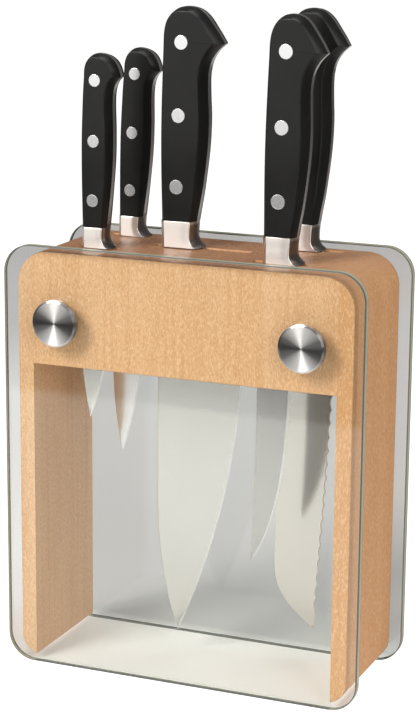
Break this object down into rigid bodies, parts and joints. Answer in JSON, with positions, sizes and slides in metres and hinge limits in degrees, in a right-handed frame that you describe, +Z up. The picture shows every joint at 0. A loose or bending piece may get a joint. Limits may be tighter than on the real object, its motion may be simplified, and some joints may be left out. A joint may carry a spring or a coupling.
{
  "type": "knife block",
  "caption": "Upright knife block of pale wood between two clear glass panels held by steel knobs, with black-handled forged knives standing in its slots.",
  "frame": {"origin": "on the surface the block stands on, under the middle of its box", "axes": "+X to the right as seen from the front, +Y towards the rear panel, +Z up"},
  "size_m": [0.2, 0.0918, 0.3525],
  "materials": {
    "beech": "satin oiled",
    "clear_glass": "clear tempered, polished edges",
    "turned_steel": "turned stainless steel",
    "satin_blade_steel": "fine satin",
    "black_handle": "soft gloss",
    "washer_rubber": "matt",
    "brass": "plain"
  },
  "bodies": {
    "block_frame": {"left_leg": "beech", "right_leg": "beech", "block_front_board": "beech", "block_second_board": "beech", "block_third_board": "beech", "block_rear_board": "beech", "front_spacer_left": "beech", "front_spacer_centre": "beech", "front_spacer_right": "beech", "middle_spacer_left": "beech", "middle_spacer_right": "beech", "rear_spacer_left": "beech", "rear_spacer_centre": "beech", "rear_spacer_right": "beech", "insert_front_left": "brass", "insert_front_right": "brass", "insert_rear_left": "brass", "insert_rear_right": "brass"},
    "paring_knife": {"paring_blade": "satin_blade_steel", "paring_front_scale": "black_handle", "paring_rear_scale": "black_handle", "paring_lower_rivet": "turned_steel", "paring_middle_rivet": "turned_steel", "paring_upper_rivet": "turned_steel"},
    "utility_knife": {"utility_blade": "satin_blade_steel", "utility_front_scale": "black_handle", "utility_rear_scale": "black_handle", "utility_lower_rivet": "turned_steel", "utility_middle_rivet": "turned_steel", "utility_upper_rivet": "turned_steel"},
    "chefs_knife": {"chefs_blade": "satin_blade_steel", "chefs_front_scale": "black_handle", "chefs_rear_scale": "black_handle", "chefs_lower_rivet": "turned_steel", "chefs_middle_rivet": "turned_steel", "chefs_upper_rivet": "turned_steel"},
    "bread_knife": {"bread_blade": "satin_blade_steel", "bread_front_scale": "black_handle", "bread_rear_scale": "black_handle", "bread_lower_rivet": "turned_steel", "bread_middle_rivet": "turned_steel", "bread_upper_rivet": "turned_steel"},
    "boning_knife": {"boning_blade": "satin_blade_steel", "boning_front_scale": "black_handle", "boning_rear_scale": "black_handle", "boning_lower_rivet": "turned_steel", "boning_middle_rivet": "turned_steel", "boning_upper_rivet": "turned_steel"},
    "front_panel": {"front_glass_panel": "clear_glass"},
    "front_left_washer": {"washer_front_left": "washer_rubber"},
    "front_left_knob": {"knob_front_left": "turned_steel"},
    "front_right_washer": {"washer_front_right": "washer_rubber"},
    "front_right_knob": {"knob_front_right": "turned_steel"},
    "rear_panel": {"rear_glass_panel": "clear_glass"},
    "rear_left_washer": {"washer_rear_left": "washer_rubber"},
    "rear_left_knob": {"knob_rear_left": "turned_steel"},
    "rear_right_washer": {"washer_rear_right": "washer_rubber"},
    "rear_right_knob": {"knob_rear_right": "turned_steel"}
  },
  "joints": [
    {"name": "paring_knife_lift", "type": "slide", "parent": "block_frame", "child": "paring_knife", "axis": [0, 0, 1], "range_m": [0, 0.1]},
    {"name": "utility_knife_lift", "type": "slide", "parent": "block_frame", "child": "utility_knife", "axis": [0, 0, 1], "range_m": [0, 0.13]},
    {"name": "chefs_knife_lift", "type": "slide", "parent": "block_frame", "child": "chefs_knife", "axis": [0, 0, 1], "range_m": [0, 0.221]},
    {"name": "bread_knife_lift", "type": "slide", "parent": "block_frame", "child": "bread_knife", "axis": [0, 0, 1], "range_m": [0, 0.216]},
    {"name": "boning_knife_lift", "type": "slide", "parent": "block_frame", "child": "boning_knife", "axis": [0, 0, 1], "range_m": [0, 0.167]},
    {"name": "front_panel_slide", "type": "slide", "parent": "block_frame", "child": "front_panel", "axis": [0, -1, 0], "range_m": [0, 0.06]},
    {"name": "front_left_knob_travel", "type": "slide", "parent": "front_panel", "child": "front_left_washer", "axis": [0, -1, 0], "range_m": [0, 0.0048]},
    {"name": "front_left_knob_turn", "type": "hinge", "parent": "front_left_washer", "child": "front_left_knob", "pos_m": [-0.0684, -0.041, 0.1906], "axis": [0, -1, 0], "range_deg": [0, 2159]},
    {"name": "front_right_knob_travel", "type": "slide", "parent": "front_panel", "child": "front_right_washer", "axis": [0, -1, 0], "range_m": [0, 0.0048]},
    {"name": "front_right_knob_turn", "type": "hinge", "parent": "front_right_washer", "child": "front_right_knob", "pos_m": [0.0684, -0.041, 0.1906], "axis": [0, -1, 0], "range_deg": [0, 2159]},
    {"name": "rear_panel_slide", "type": "slide", "parent": "block_frame", "child": "rear_panel", "axis": [0, 1, 0], "range_m": [0, 0.06]},
    {"name": "rear_left_knob_travel", "type": "slide", "parent": "rear_panel", "child": "rear_left_washer", "axis": [0, 1, 0], "range_m": [0, 0.0048]},
    {"name": "rear_left_knob_turn", "type": "hinge", "parent": "rear_left_washer", "child": "rear_left_knob", "pos_m": [-0.0684, 0.041, 0.1906], "axis": [0, 1, 0], "range_deg": [0, 2159]},
    {"name": "rear_right_knob_travel", "type": "slide", "parent": "rear_panel", "child": "rear_right_washer", "axis": [0, 1, 0], "range_m": [0, 0.0048]},
    {"name": "rear_right_knob_turn", "type": "hinge", "parent": "rear_right_washer", "child": "rear_right_knob", "pos_m": [0.0684, 0.041, 0.1906], "axis": [0, 1, 0], "range_deg": [0, 2159]}
  ],
  "couplings": [
    {"joint": "front_left_knob_travel", "follows": "front_left_knob_turn", "m_per_rad": 0.00012732},
    {"joint": "front_right_knob_travel", "follows": "front_right_knob_turn", "m_per_rad": 0.00012732},
    {"joint": "rear_left_knob_travel", "follows": "rear_left_knob_turn", "m_per_rad": 0.00012732},
    {"joint": "rear_right_knob_travel", "follows": "rear_right_knob_turn", "m_per_rad": 0.00012732}
  ]
}
